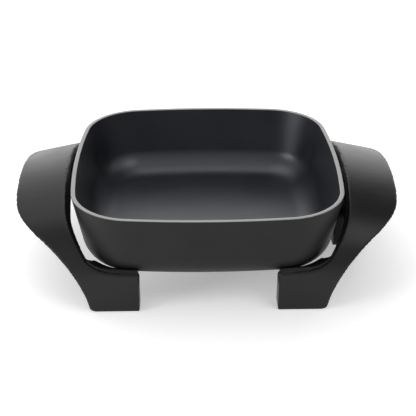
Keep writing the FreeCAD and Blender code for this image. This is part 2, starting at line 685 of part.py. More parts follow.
def make_right_moulding():
    """Arched handle with both its legs: a skin with return flanges, ribs and cupped screw seats."""
    outline = front_outline("outline", "0")
    inner_outline = front_outline("inner_outline", "skin")
    room = pan_room("room", "0")
    wide_room = pan_room("wide_room", "skin")
    close_room = pan_room("close_room", "-rebate")
    face = moulding_layer("face", "0", "skin", outline, room)
    returns = moulding_layer("returns", "skin", "flange", outline, close_room)
    whole = fuse("whole", [face, returns])
    hollow = moulding_layer("hollow", "skin", "flange + skin", inner_outline, wide_room)
    webs = moulding_layer("webs", "skin", "skin + rib_depth", inner_outline, wide_room)
    plates = []
    for k in range(-2, 3):
        plates.append(box("rib_%d" % (k + 2), "grip_reach", "rib", "outline_top",
                          y="%d * rib_pitch - rib / 2" % k))
    for name, side in (("front", "-arch_half"), ("back", "arch_half - flange - skin")):
        plates.append(box("leg_rib_" + name, "rib", "flange + skin", "lip_height",
                          x="leg_rib_x - rib / 2", y=side))
    ribs = common("ribs", [webs, fuse("rib_plates", plates)])
    seats = []
    holes = []
    for name, sign in (("front", "-"), ("back", "")):
        at = {"x": "foot_boss_x", "y": sign + "foot_boss_y"}
        seats.append(cylinder("seat_" + name, "foot_boss_radius + boss_clear + seat_wall",
                              "seat_depth + seat_cup", z="seat_z", **at))
        holes.append(cylinder("cup_" + name, "foot_boss_radius + boss_clear", "seat_cup",
                              z="ledge_height", **at))
        holes.append(cylinder("seat_hole_" + name, "screw_radius + screw_clear", "seat_depth",
                              z="seat_z", **at))
        holes.append(cylinder("access_" + name, "access_radius", "skin", **at))
    shell = cut("shell", whole, hollow)
    cups = cut("cups", fuse("seats", seats), close_room)
    return cut("right_handle_leg", fuse("moulding", [shell, ribs, cups]), fuse("bores", holes))


def make_left_moulding(right):
    made = doc.addObject("Part::Mirroring", "left_handle_leg")
    made.Source = right
    made.Normal = FreeCAD.Vector(1, 0, 0)
    made.Label = "left_handle_leg"
    doc.recompute()
    return made


def make_fastenings():
    """Screw, lock washer and insulating spacer at each mounting boss, kept by side."""
    pieces = []
    for side, sx in (("left", "-"), ("right", "")):
        screws, washers, spacers = [], [], []
        for end, sy in (("front", "-"), ("back", "")):
            tag = "_%s_%s" % (side, end)
            at = {"x": sx + "foot_boss_x", "y": sy + "foot_boss_y"}
            head = cylinder("head" + tag, "head_radius", "head_height",
                            z="seat_z - washer - head_height", **at)
            shank = cylinder("shank" + tag, "screw_radius",
                             "washer + seat_depth + spacer + screw_grip", z="seat_z - washer", **at)
            screws.append(fuse("screw" + tag, [head, shank]))
            washers.append(ring("lock_washer" + tag, "washer_radius", "screw_radius + screw_clear",
                                "washer", z="seat_z - washer", **at))
            spacers.append(ring("spacer" + tag, "foot_boss_radius", "screw_radius + screw_clear",
                                "spacer", z="ledge_height", **at))
        pieces.append(group(side + "_screws", screws))
        pieces.append(group(side + "_lock_washers", washers))
        pieces.append(group(side + "_spacers", spacers))
    return pieces


def check(pieces):
    for thing in doc.Objects:
        if "Invalid" in thing.State or "Error" in thing.State:
            raise RuntimeError("%s did not build: %s" % (thing.Label, thing.State))
    for piece in pieces:
        if piece.Shape.isNull() or not piece.Shape.isValid() or piece.Shape.Volume <= 0:
            raise RuntimeError("%s has no sound shape" % piece.Label)


def main():
    fill_sheet()
    sheath_solid, pieces = make_element()
    pieces.append(make_pan(sheath_solid))
    pieces.append(make_sensor_well())
    pieces += make_guard()
    right = make_right_moulding()
    pieces += [right, make_left_moulding(right)]
    pieces += make_fastenings()
    doc.recompute()
    check(pieces)
    os.makedirs("parts", exist_ok=True)
    for piece in pieces:
        piece.Shape.exportStep("parts/%s.step" % piece.Label)
        print("%-22s %10.1f mm3  %d solids" % (piece.Label, piece.Shape.Volume, len(piece.Shape.Solids)))


main()
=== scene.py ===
import math

import bmesh
import bpy
from bpy.props import FloatProperty, FloatVectorProperty, IntProperty, PointerProperty
from mathutils import Matrix, Vector


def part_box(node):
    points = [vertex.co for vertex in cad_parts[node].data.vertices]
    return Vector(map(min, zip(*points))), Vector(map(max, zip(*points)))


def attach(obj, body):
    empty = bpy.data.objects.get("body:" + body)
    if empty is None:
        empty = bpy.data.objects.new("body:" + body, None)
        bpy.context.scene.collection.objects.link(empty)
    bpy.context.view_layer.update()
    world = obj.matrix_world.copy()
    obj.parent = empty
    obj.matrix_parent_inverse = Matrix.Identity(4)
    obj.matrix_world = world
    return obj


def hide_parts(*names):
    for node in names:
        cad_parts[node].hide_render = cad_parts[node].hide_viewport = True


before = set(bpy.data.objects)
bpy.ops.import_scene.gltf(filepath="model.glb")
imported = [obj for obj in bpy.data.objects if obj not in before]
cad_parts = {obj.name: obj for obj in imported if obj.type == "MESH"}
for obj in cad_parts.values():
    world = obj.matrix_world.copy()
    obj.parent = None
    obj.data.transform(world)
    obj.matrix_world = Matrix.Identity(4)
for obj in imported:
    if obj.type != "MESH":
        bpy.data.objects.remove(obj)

bl_info = {
    "name": "Electric skillet",
    "version": (1, 0, 0),
    "blender": (4, 5, 0),
    "location": "View3D > Sidebar > Skillet",
    "description": "Dresses an electric skillet: cast pan, arched mouldings, terminals and stage",
    "category": "Object",
}

ROOT = "root"

# Places taken from the solids, in metres
PAN_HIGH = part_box("pan")[1]
RIM_HALF, RIM_HEIGHT = PAN_HIGH[0], PAN_HIGH[2]
PIN_LOW, PIN_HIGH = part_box("terminal_pin_front")
PIN_HEIGHT = (PIN_LOW[2] + PIN_HIGH[2]) / 2
PIN_SIDE = abs(PIN_LOW[1] + PIN_HIGH[1]) / 2
PIN_RADIUS = (PIN_HIGH[2] - PIN_LOW[2]) / 2
BUSH_LOW, BUSH_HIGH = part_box("terminal_bush_front")
BUSH_RADIUS = (BUSH_HIGH[2] - BUSH_LOW[2]) / 2

# A face counts as turned one way when its normal's part that way is above this
TURNED = 0.9
SMOOTH_ANGLE = math.radians(35)
# Cutters overshoot what they cut, and joined parts overlap, by these lengths
OVERSHOOT = 0.001
OVERLAP = 0.0002
# Sides of screw heads and discs, of pins and bushes, of shanks, and of the guard's shanks
SIDES, FINE_SIDES, SHANK_SIDES, THIN_SIDES = 48, 64, 32, 24

# A recess's bars: their length to the head's radius, and their width to their length
BAR_LENGTH, BAR_WIDTH = 1.05, 0.24

# The studio
FLOOR_SIZE = 14.0
FLOOR_GLOW = 0.32
LIGHT_TARGET = (0, 0, 0.05)
# name, place, width, depth, power
LIGHTS = (("overhead", (-0.45, 0.25, 1.6), 1.2, 1.0, 4.0),
          ("left_box", (-1.6, -0.8, 0.35), 0.8, 0.6, 16.0),
          ("right_fill", (0.75, -0.70, 1.3), 0.8, 0.8, 3.5))
# The world's glow in front, what it gains towards the back, and how late it gains it
FRONT_GLOW, BACK_GLOW, GLOW_POWER = 0.52, 1.95, 4.0
# A dark flag hangs in this direction, over these cosines from its edge to its middle
FLAG_TOWARDS, FLAG_EDGE, FLAG_MIDDLE = (0.47, 0.41, 0.78), 0.90, 0.98
CAMERA_PLACE, CAMERA_TARGET = (-0.0175, -0.9160, 0.5429), (0.0018, 0.0, 0.0469)
LENS, SENSOR = 82.2, 36.0


def length(name, description, default):
    return FloatProperty(name=name, description=description, default=default, unit="LENGTH")


def angle(name, description, default):
    return FloatProperty(name=name, description=description, default=math.radians(default),
                         subtype="ANGLE")


def colour(name, description, default):
    return FloatVectorProperty(name=name, description=description, default=default,
                               subtype="COLOR")


def count(name, description, default, least):
    return IntProperty(name=name, description=description, default=default, min=least)


class PanSizes(bpy.types.PropertyGroup):
    side_bow: length("Side bow", "Radius of the rim's bowed sides", 0.800)
    rim_corner: length("Rim corner", "Radius of the rim's corners", 0.064)
    depth: length("Depth", "Outside depth of the pan", 0.0755)
    floor: length("Floor", "Thickness of the pan's floor", 0.005)
    land: length("Rim land", "Width of the bare rim land", 0.0045)
    outer_draft: angle("Outer draft", "Lean of the outside wall", 10.7)
    inner_draft: angle("Inner draft", "Lean of the inside wall", 11.2)
    outer_round: length("Outer round", "Outside radius from wall to floor", 0.0335)
    inner_round: length("Inner round", "Inside radius from wall to floor", 0.029)
    edge_round: length("Edge round", "Radius of the land's two edges", 0.0007)
    least_corner: length("Least corner", "Corner radius of the smallest parallel ring", 0.012)
    corner_steps: count("Corner steps", "Segments round each corner", 28, 4)
    side_steps: count("Side steps", "Segments along each bowed side", 12, 2)
    under_rings: count("Under rings", "Rings across the flat underside", 5, 2)
    cook_rings: count("Cook rings", "Rings across the flat cooking floor", 6, 2)
    round_steps: count("Round steps", "Segments from wall to floor", 16, 4)
    edge_steps: count("Edge steps", "Segments round each edge of the land", 4, 1)


class UndersideSizes(bpy.types.PropertyGroup):
    ridge_radius: length("Ridge", "Radius of the ridge over the element", 0.007)
    ridge_sunk: length("Ridge sunk", "How far the ridge goes into the pan's floor", 0.0012)
    loop_half: length("Loop", "Half width of the element's loop", 0.080)
    loop_bend: length("Loop bend", "Bend radius of the element's loop", 0.024)
    loop_short: length("Loop short", "Distance from the ridge's ends to the bushes", 0.006)
    block_length: length("Block length", "Length of the terminal boss", 0.038)
    block_half: length("Block half", "Half width of the terminal boss", 0.027)
    block_below: length("Block below", "Terminal boss below the pan's underside", 0.008)
    block_above: length("Block above", "Terminal boss above the pan's underside", 0.016)
    block_round: length("Block round", "Radius of the terminal boss's edges", 0.0045)
    boss_height: length("Boss height", "Height of a mounting boss before its cut", 0.016)
    boss_cut: length("Boss cut", "Where the cut meets a boss's middle, above the underside",
                     0.008)
    boss_round: length("Boss round", "Radius of the mounting bosses' edges", 0.0006)


class MouldingSizes(bpy.types.PropertyGroup):
    cell: length("Cell", "Size of the even cells that the skin is rebuilt from", 0.00105)
    relax: count("Relax", "Passes that soften the moulded edges", 14, 1)
    # The return wall beside the pan takes a rougher, less reflective finish: partly its own
    # moulded skin, partly painted shade for the recess.
    return_reach: length("Return reach", "The dull return wall ends this far from the rim",
                         0.0050)
    return_foot: length("Return foot", "The dull return wall starts at this height", 0.030)


class FittingSizes(bpy.types.PropertyGroup):
    guard_round: length("Guard round", "Radius of the terminal guard's edges", 0.0004)
    pin_round: length("Pin round", "Radius of the pins' ends", 0.0014)
    neck_step: length("Neck step", "How much slimmer a pin's neck is", 0.0005)
    bush_round: length("Bush round", "Radius of the bushes' edges", 0.0005)
    tube_wall: length("Tube wall", "Wall of the sensor tube", 0.0008)
    tube_round: length("Tube round", "Radius of the sensor tube's edges", 0.0002)
    head_round: length("Head round", "Radius of the screw heads' edges", 0.0014)
    shank: length("Shank", "Radius of the screws' shanks", 0.0025)
    bore: length("Bore", "Radius of the holes in washers and spacers", 0.0028)
    recess: length("Recess", "Depth of the screws' recesses", 0.0018)
    screw_round: length("Screw round", "Radius of the screws' and spacers' edges", 0.0002)
    washer_round: length("Washer round", "Radius of the washers' edges", 0.0001)
    guard_head_round: length("Guard head round", "Radius of the guard's screw heads' edges",
                             0.0010)
    guard_shank: length("Guard shank", "Radius of the guard's screw shanks", 0.00175)
    guard_recess: length("Guard recess", "Depth of the guard's screw recesses", 0.0013)
    guard_wall: length("Guard wall", "Guard's wall under its screw heads", 0.0016)
    guard_screw_round: length("Guard screw round", "Radius of the guard screws' edges", 0.00015)


class Finishes(bpy.types.PropertyGroup):
    coat: colour("Outside coat", "Colour of the coat outside the pan", (0.0105, 0.0103, 0.0100))
    lining: colour("Cooking surface", "Colour of the non-stick coat", (0.0026, 0.0030, 0.0056))
    bare: colour("Bare metal", "Colour of the machined rim land", (0.27, 0.27, 0.265))
    moulding: colour("Moulding", "Colour of the black mouldings", (0.0042, 0.0042, 0.0043))
    enamel: colour("Guard enamel", "Colour of the terminal guard", (0.0035, 0.0035, 0.0035))
    steel: colour("Steel", "Colour of pins, screws and tubes", (0.55, 0.54, 0.52))
    bush: colour("Bush", "Colour of the fired bushes", (0.62, 0.58, 0.50))
    board: colour("Board", "Colour of the pressed spacers", (0.36, 0.27, 0.15))
    powder: colour("Powder", "Colour of the element's packed powder", (0.78, 0.76, 0.70))
    seal: colour("Seal", "Colour of the soft terminal seals", (0.34, 0.09, 0.05))
    floor: colour("Floor", "Colour of the studio floor", (0.93, 0.93, 0.93))


# Modelling helpers

def take(piece):
    """Makes the piece the only one selected, and the active one."""
    if bpy.context.object and bpy.context.object.mode != "OBJECT":
        bpy.ops.object.mode_set(mode="OBJECT")
    for thing in bpy.context.selected_objects:
        thing.select_set(False)
    if piece:
        piece.select_set(True)
        bpy.context.view_layer.objects.active = piece


def settle(piece, name):
    """Puts the piece's place into its mesh and leaves its object at the origin."""
    take(piece)
    bpy.ops.object.transform_apply(location=True, rotation=True, scale=True)
    piece.name = piece.data.name = name
    return piece


def rod(name, radius, start, end, along="z", at=(0.0, 0.0), sides=FINE_SIDES):
    """Cylinder from start to end along x or z; at gives its other two places."""
    take(None)
    middle = (start + end) / 2
    turned = along == "x"
    bpy.ops.mesh.primitive_cylinder_add(
        vertices=sides, radius=radius, depth=end - start,
        location=(middle, *at) if turned else (*at, middle),
        rotation=(0, math.pi / 2 if turned else 0, 0))
    return settle(bpy.context.object, name)


def box(name, middle, spans):
    take(None)
    bpy.ops.mesh.primitive_cube_add(size=1, location=middle, scale=spans)
    return settle(bpy.context.object, name)


def edit(piece):
    """Opens the piece in edit mode with all its faces selected."""
    take(piece)
    bpy.ops.object.mode_set(mode="EDIT")
    bpy.ops.mesh.select_mode(type="FACE")
    bpy.ops.mesh.select_all(action="SELECT")


def finish_edit():
    bpy.ops.object.mode_set(mode="OBJECT")


def cut_above(piece, place, normal, fill=True):
    """Cuts off what lies beyond the plane."""
    edit(piece)
    bpy.ops.mesh.bisect(plane_co=place, plane_no=normal, clear_outer=True, use_fill=fill)
    finish_edit()


def round_end(piece, way, width, segments):
    """Rounds the edges of the piece's flat end that faces the given way."""
    edit(piece)
    shape = bmesh.from_edit_mesh(piece.data)
    for face in shape.faces:
        face.select_set(face.normal.dot(Vector(way)) > TURNED)
    bmesh.update_edit_mesh(piece.data)
    bpy.ops.mesh.bevel(offset=width, segments=segments, affect="EDGES")
    finish_edit()


def apply_all(piece):
    take(piece)
    for modifier in list(piece.modifiers):
        bpy.ops.object.modifier_apply(modifier=modifier.name)


def soften(piece, width, segments=2, sharper=40.0):
    """Bevels the edges sharper than an angle in degrees and shades the rest smooth."""
    bevel = piece.modifiers.new("edge_rounds", "BEVEL")
    bevel.width = width
    bevel.segments = segments
    bevel.limit_method = "ANGLE"
    bevel.angle_limit = math.radians(sharper)
    apply_all(piece)
    bpy.ops.object.shade_smooth_by_angle(angle=SMOOTH_ANGLE)


def combine(piece, other, operation):
    """Cuts the other piece away or fuses it, and removes it."""
    carve = piece.modifiers.new("combine", "BOOLEAN")
    carve.operation = operation
    carve.object = other
    carve.solver = "EXACT"
    apply_all(piece)
    bpy.data.objects.remove(other, do_unlink=True)


def placed_copy(piece, name, move):
    """Copy with its own mesh, put in place by the matrix; a mirrored one is turned out."""
    mesh = piece.data.copy()
    mesh.name = name
    mesh.transform(move)
    if move.determinant() < 0:
        mesh.flip_normals()
    made = bpy.data.objects.new(name, mesh)
    bpy.context.scene.collection.objects.link(made)
    return made


def join(name, pieces):
    take(pieces[0])
    for piece in pieces[1:]:
        piece.select_set(True)
    bpy.ops.object.join()
    pieces[0].name = pieces[0].data.name = name
    return pieces[0]


def dress(piece, finish, slot, *nodes):
    """Gives the piece its finish, its body and the nodes it stands for; its slot is not used."""
    piece.data.materials.clear()
    piece.data.materials.append(finish)
    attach(piece, ROOT)
    if nodes:
        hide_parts(*nodes)


def merged_copy(node, name):
    """Copy of a solid's mesh whose loose triangles are merged to one skin."""
    source = bpy.data.objects[node]
    piece = placed_copy(source, name, source.matrix_world)
    piece.data.materials.clear()
    edit(piece)
    bpy.ops.mesh.remove_doubles(threshold=1e-6)
    finish_edit()
    return piece


# Material helpers

def scaled(tone, by):
    """Brighter or darker tone, with its alpha."""
    return (*(part * by for part in tone), 1.0)


def new_group(name, inputs, outputs):
    """Shader group with its inputs, as name, kind and value, and its outputs."""
    group = bpy.data.node_groups.new(name, "ShaderNodeTree")
    for label, kind, value in inputs:
        socket = group.interface.new_socket(label, in_out="INPUT", socket_type=kind)
        if value is not None:
            socket.default_value = value
    for label, kind in outputs:
        group.interface.new_socket(label, in_out="OUTPUT", socket_type=kind)
    return group, group.nodes.new("NodeGroupInput"), group.nodes.new("NodeGroupOutput")


def noise(tree, vector, scale, detail, rough=0.5):
    node = tree.nodes.new("ShaderNodeTexNoise")
    node.inputs["Detail"].default_value = detail
    node.inputs["Roughness"].default_value = rough
    tree.links.new(vector, node.inputs["Vector"])
    tree.links.new(scale, node.inputs["Scale"])
    return node.outputs["Fac"]


def ranged(tree, value, low, high, to_low, to_high):
    """Maps the value; a socket among the limits is linked, a number is set."""
    node = tree.nodes.new("ShaderNodeMapRange")
    tree.links.new(value, node.inputs["Value"])
    limits = {"From Min": low, "From Max": high, "To Min": to_low, "To Max": to_high}
    for key, limit in limits.items():
        if isinstance(limit, (int, float)):
            node.inputs[key].default_value = limit
        else:
            tree.links.new(limit, node.inputs[key])
    return node.outputs["Result"]


def mixed(tree, share, first, second):
    """Mixes two colours by a share; a socket is linked, a colour is set."""
    node = tree.nodes.new("ShaderNodeMix")
    node.data_type = "RGBA"
    tree.links.new(share, node.inputs["Factor"])
    for key, tone in (("A", first), ("B", second)):
        if isinstance(tone, tuple):
            node.inputs[key].default_value = tone
        else:
            tree.links.new(tone, node.inputs[key])
    return node.outputs["Result"]


def maths(tree, operation, *values):
    """Math node; a socket among the values is linked, a number is set."""
    node = tree.nodes.new("ShaderNodeMath")
    node.operation = operation
    for socket, value in zip(node.inputs, values):
        if isinstance(value, (int, float)):
            socket.default_value = value
        else:
            tree.links.new(value, socket)
    return node.outputs["Value"]


def surface_group():
    """Cloudy tone and gloss over a surface, the same for every finish."""
    group, inside, outside = new_group(
        "cloudy_surface",
        [("Vector", "NodeSocketVector", None), ("Dark", "NodeSocketColor", None),
         ("Light", "NodeSocketColor", None), ("Scale", "NodeSocketFloat", 30.0),
         ("Gloss Low", "NodeSocketFloat", 0.3), ("Gloss High", "NodeSocketFloat", 0.4)],
        [("Color", "NodeSocketColor"), ("Roughness", "NodeSocketFloat")])
    given = inside.outputs
    cloud = noise(group, given["Vector"], given["Scale"], detail=4.0)
    thin, thick = 0.32, 0.68
    share = ranged(group, cloud, thin, thick, 0.0, 1.0)
    group.links.new(mixed(group, share, given["Dark"], given["Light"]), outside.inputs["Color"])
    gloss = ranged(group, cloud, thin, thick, given["Gloss Low"], given["Gloss High"])
    group.links.new(gloss, outside.inputs["Roughness"])
    return group


def grain_group():
    """Height of a fine grain over a slower unevenness, for a Bump node."""
    group, inside, outside = new_group(
        "fine_grain",
        [("Vector", "NodeSocketVector", None), ("Scale", "NodeSocketFloat", 1500.0),
         ("Slow Scale", "NodeSocketFloat", 60.0), ("Slow Share", "NodeSocketFloat", 0.3)],
        [("Height", "NodeSocketFloat")])
    given = inside.outputs
    fine = noise(group, given["Vector"], given["Scale"], detail=3.0, rough=0.6)
    slow = noise(group, given["Vector"], given["Slow Scale"], detail=2.0)
    height = maths(group, "MULTIPLY_ADD", slow, given["Slow Share"], fine)
    group.links.new(height, outside.inputs["Height"])
    return group


def fleck_group():
    """Mask of the light flecks in the non-stick coat."""
    group, inside, outside = new_group(
        "coat_flecks",
        [("Vector", "NodeSocketVector", None), ("Scale", "NodeSocketFloat", 900.0),
         ("Least", "NodeSocketFloat", 0.58), ("Most", "NodeSocketFloat", 0.68)],
        [("Mask", "NodeSocketFloat")])
    given = inside.outputs
    speck = noise(group, given["Vector"], given["Scale"], detail=3.0, rough=0.6)
    mask = ranged(group, speck, given["Least"], given["Most"], 0.0, 1.0)
    group.links.new(mask, outside.inputs["Mask"])
    return group


def place_group(tree, name, build, vector, **values):
    """Places a group, built the first time it is asked for, with its own values."""
    node = tree.nodes.new("ShaderNodeGroup")
    node.node_tree = bpy.data.node_groups.get(name) or build()
    tree.links.new(vector, node.inputs["Vector"])
    for key, value in values.items():
        node.inputs[key.replace("_", " ")].default_value = value
    return node


def finish_material(name, tone, uneven=0.12, cloud=120.0, gloss=(0.55, 0.70), grain=1200.0,
                    depth=0.00004, slow=60.0, slow_share=0.3, fleck=None, stretch=None,
                    shine=None, metal=False):
    """One finish: cloudy tone and gloss, grain in the normal, and flecks where asked.

    uneven is the share by which the tone varies, shine the specular level.
    """
    made = bpy.data.materials.new(name)
    made.use_nodes = True
    tree = made.node_tree
    shader = tree.nodes["Principled BSDF"]
    place = tree.nodes.new("ShaderNodeTexCoord").outputs["Object"]
    if stretch:
        mapping = tree.nodes.new("ShaderNodeMapping")
        mapping.inputs["Scale"].default_value = stretch
        tree.links.new(place, mapping.inputs["Vector"])
        place = mapping.outputs["Vector"]
    surface = place_group(tree, "cloudy_surface", surface_group, place,
                          Dark=scaled(tone, 1 - uneven), Light=scaled(tone, 1 + uneven),
                          Scale=cloud, Gloss_Low=gloss[0], Gloss_High=gloss[1])
    shown = surface.outputs["Color"]
    if fleck:
        flecks = place_group(tree, "coat_flecks", fleck_group, place)
        shown = mixed(tree, flecks.outputs["Mask"], shown, scaled(tone, fleck))
    tree.links.new(shown, shader.inputs["Base Color"])
    tree.links.new(surface.outputs["Roughness"], shader.inputs["Roughness"])
    rough = place_group(tree, "fine_grain", grain_group, place, Scale=grain, Slow_Scale=slow,
                        Slow_Share=slow_share)
    bump = tree.nodes.new("ShaderNodeBump")
    bump.inputs["Strength"].default_value = 1.0
    bump.inputs["Distance"].default_value = depth
    tree.links.new(rough.outputs["Height"], bump.inputs["Height"])
    tree.links.new(bump.outputs["Normal"], shader.inputs["Normal"])
    if shine is not None:
        shader.inputs["Specular IOR Level"].default_value = shine
    if metal:
        shader.inputs["Metallic"].default_value = 1.0
    return made


def coat_material():
    return finish_material("outside_coat", colours().coat, uneven=0.14, cloud=35.0,
                           gloss=(0.42, 0.50), grain=1300.0, depth=0.00003, slow=90.0,
                           slow_share=0.6, shine=0.22)


def lining_material():
    made = finish_material("cooking_surface", colours().lining, uneven=0.10, cloud=25.0,
                           gloss=(0.36, 0.42), grain=900.0, depth=0.00003, slow=70.0,
                           slow_share=0.4, fleck=3.2, shine=1.0)
    shader = made.node_tree.nodes["Principled BSDF"]
    shader.inputs["Specular Tint"].default_value = (0.92, 0.94, 1.0, 1.0)
    return made


def bare_material():
    return finish_material("bare_rim_land", colours().bare, uneven=0.05, cloud=160.0,
                           gloss=(0.50, 0.58), grain=1600.0, depth=0.00001,
                           stretch=(1.0, 1.0, 0.2), metal=True)


def moulding_material(name, gloss, shine):
    return finish_material(name, colours().moulding, uneven=0.16, cloud=26.0, gloss=gloss,
                           grain=1700.0, depth=0.00003, slow=45.0, slow_share=0.8, shine=shine)


def steel_material(name, bright, gloss):
    """Drawn steel; bright scales the steel's colour."""
    return finish_material(name, scaled(colours().steel, bright)[:3], uneven=0.06, cloud=220.0,
                           gloss=gloss, grain=1500.0, depth=0.00001,
                           stretch=(0.15, 1.0, 1.0), metal=True)


def pan_sizes():
    return bpy.context.scene.skillet_pan


def underside_sizes():
    return bpy.context.scene.skillet_underside


def moulding_sizes():
    return bpy.context.scene.skillet_mouldings


def fitting_sizes():
    return bpy.context.scene.skillet_fittings


def colours():
    return bpy.context.scene.skillet_finishes


# Pan

def arc_points(cx, cz, radius, start, end, steps):
    """Points on an arc of the section, start and end angles in degrees."""
    turns = [math.radians(start + (end - start) * k / steps) for k in range(steps + 1)]
    return [(cx + radius * math.cos(t), cz + radius * math.sin(t)) for t in turns]


def outline_arcs():
    """Distance from the pan's middle to the centre of a side's arc, the place of a
    corner's centre in x and y, and the angle at the side's centre where the arcs meet."""
    pan = pan_sizes()
    shift, span = pan.side_bow - RIM_HALF, pan.side_bow - pan.rim_corner
    corner = (math.sqrt(2 * span ** 2 - shift ** 2) - shift) / 2
    return shift, corner, math.atan2(corner, corner + shift)


def beyond_rim(x, y):
    """Plan distance of a point outside the rim's outline, beside its left or right."""
    pan = pan_sizes()
    shift, corner, meet = outline_arcs()
    x, y = abs(x), abs(y)
    if math.atan2(y, x + shift) <= meet:
        return math.hypot(x + shift, y) - pan.side_bow
    return math.hypot(x - corner, y - corner) - pan.rim_corner


def bowed_ring(half):
    """Ring parallel to the rim at a half width; near the middle it only shrinks."""
    pan = pan_sizes()
    shift, corner, meet = outline_arcs()
    least = RIM_HALF - pan.rim_corner + pan.least_corner
    shrink = min(1.0, half / least)
    inset = RIM_HALF - max(half, least)
    arcs = [(-shift, 0.0, pan.side_bow - inset, -meet, meet, pan.side_steps),
            (corner, corner, pan.rim_corner - inset, meet, math.pi / 2 - meet,
             pan.corner_steps)]
    quarter = []
    for cx, cy, radius, start, end, steps in arcs:
        for step in range(steps):
            turn = start + (end - start) * step / steps
            quarter.append(shrink * Vector((cx + radius * math.cos(turn),
                                            cy + radius * math.sin(turn))))
    turned = [Matrix.Rotation(k * math.pi / 2, 2) for k in range(4)]
    return [(turn @ point)[:] for turn in turned for point in quarter]


def pan_section():
    """Half widths and heights from the underside, over the rim, to the cooking floor."""
    pan = pan_sizes()
    edge = pan.edge_round

    def wall(top, floor, draft, radius):
        """Reach of the flat floor inside the round, and the draft in degrees."""
        foot = top - (RIM_HEIGHT - floor) * math.tan(draft)
        return foot - radius * math.tan((math.pi / 2 - draft) / 2), math.degrees(draft)

    under = RIM_HEIGHT - pan.depth
    reach, lean = wall(RIM_HALF, under, pan.outer_draft, pan.outer_round)
    section = [(k * reach / pan.under_rings, under) for k in range(1, pan.under_rings)]
    section += arc_points(reach, under + pan.outer_round, pan.outer_round, -90, -lean,
                          pan.round_steps)
    section += arc_points(RIM_HALF - edge, RIM_HEIGHT - edge, edge, -lean, 90, pan.edge_steps)
    cook, top = under + pan.floor, RIM_HALF - pan.land
    reach, lean = wall(top, cook, pan.inner_draft, pan.inner_round)
    section += arc_points(top + edge, RIM_HEIGHT - edge, edge, 90, 180 + lean, pan.edge_steps)
    section += arc_points(reach, cook + pan.inner_round, pan.inner_round, -lean, -90,
                          pan.round_steps)
    flat = [(k * reach / pan.cook_rings, cook) for k in range(1, pan.cook_rings)]
    return section + flat[::-1]


def lay(shape, half, height):
    """Puts the selected points of an edge loop on the ring, in order round the middle."""
    # A little over zero, so that rounding never sends the first point to the end
    start = 0.003

    def bearing(point):
        return (math.atan2(point[1], point[0]) + start) % (2 * math.pi)

    points = sorted((v for v in shape.verts if v.select), key=lambda v: bearing(v.co))
    for vert, (x, y) in zip(points, sorted(bowed_ring(half), key=bearing)):
        vert.co = (x, y, height)


def build_shell():
    """A circle laid on the outline, extruded ring by ring along the section and closed."""
    (first, under), *rest = pan_section()
    take(None)
    bpy.ops.mesh.primitive_circle_add(vertices=len(bowed_ring(RIM_HALF)), radius=first,
                                      fill_type="NGON", location=(0, 0, 0))
    shell = bpy.context.object
    bpy.ops.object.mode_set(mode="EDIT")
    bpy.ops.mesh.select_mode(type="VERT")
    bpy.ops.mesh.poke()
    shape = bmesh.from_edit_mesh(shell.data)
    for vert in shape.verts:
        vert.select_set(vert.is_boundary)
        vert.co.z = under
    shape.select_flush(True)
    lay(shape, first, under)
    bpy.ops.mesh.select_mode(type="EDGE")
    for edge in shape.edges:
        edge.select_set(edge.is_boundary)
    bmesh.update_edit_mesh(shell.data)
    for half, height in rest:
        bpy.ops.mesh.extrude_region_move()
        shape = bmesh.from_edit_mesh(shell.data)
        lay(shape, half, height)
        bmesh.update_edit_mesh(shell.data)
    bpy.ops.mesh.extrude_region_move()
    bpy.ops.mesh.merge(type="CENTER")
    bpy.ops.mesh.select_all(action="SELECT")
    bpy.ops.mesh.normals_make_consistent(inside=False)
    finish_edit()
    return shell


COAT, LINING, BARE = range(3)


def pan_finish(face):
    """Bare on the land's flat, lining on faces turned up or to the middle, coat outside."""
    x, y, z = face.center
    # The bare flat runs on into about a third of its edge rounds
    land = RIM_HEIGHT - 0.35 * pan_sizes().edge_round
    if z > land:
        return BARE
    inward = face.normal.x * x + face.normal.y * y < 0
    return LINING if face.normal.z > TURNED or inward else COAT


class SKILLET_OT_pan(bpy.types.Operator):
    """Cast pan with its coats and its bare rim land"""
    bl_idname = "skillet.pan"
    bl_label = "Pan"

    def execute(self, context):
        shell = settle(build_shell(), "skillet_pan")
        dress(shell, coat_material(), "pan_coat", "pan")
        shell.data.materials.append(lining_material())
        shell.data.materials.append(bare_material())
        for face in shell.data.polygons:
            face.material_index = pan_finish(face)
        shell.data.shade_smooth()
        return {"FINISHED"}


def loop_points():
    """Centre line of the element: in at one terminal, round the loop, out at the other."""
    low = underside_sizes()
    half, bend, near = low.loop_half, low.loop_bend, PIN_SIDE
    end = BUSH_LOW[0] - low.loop_short
    inside, neck = half - bend, near + bend
    # Each bend's centre, and its angles in degrees in the order of the run
    bends = [(half + bend, neck, 270, 180), (inside, inside, 0, 90), (-inside, inside, 90, 180),
             (-inside, -inside, 180, 270), (inside, -inside, 270, 360),
             (half + bend, -neck, 180, 90)]
    points = [(end, near)]
    for cx, cy, start, stop in bends:
        points += arc_points(cx, cy, bend, start, stop, steps=8)
    return points + [(end, -near)]


def element_ridge(under):
    """Half tube along the element's loop, cut off inside the pan's floor."""
    low = underside_sizes()
    line = bpy.data.curves.new("ridge_line", "CURVE")
    line.dimensions = "3D"
    line.bevel_depth = low.ridge_radius
    line.bevel_resolution = 8
    run = line.splines.new("POLY")
    points = loop_points()
    run.points.add(len(points) - 1)
    for point, (x, y) in zip(run.points, points):
        point.co = (x, y, PIN_HEIGHT, 1)
    curve = bpy.data.objects.new("element_ridge", line)
    bpy.context.scene.collection.objects.link(curve)
    take(curve)
    bpy.ops.object.convert(target="MESH")
    ridge = settle(bpy.context.object, "element_ridge")
    cut_above(ridge, (0, 0, under + low.ridge_sunk), (0, 0, 1), fill=False)
    ridge.data.shade_smooth()
    return ridge


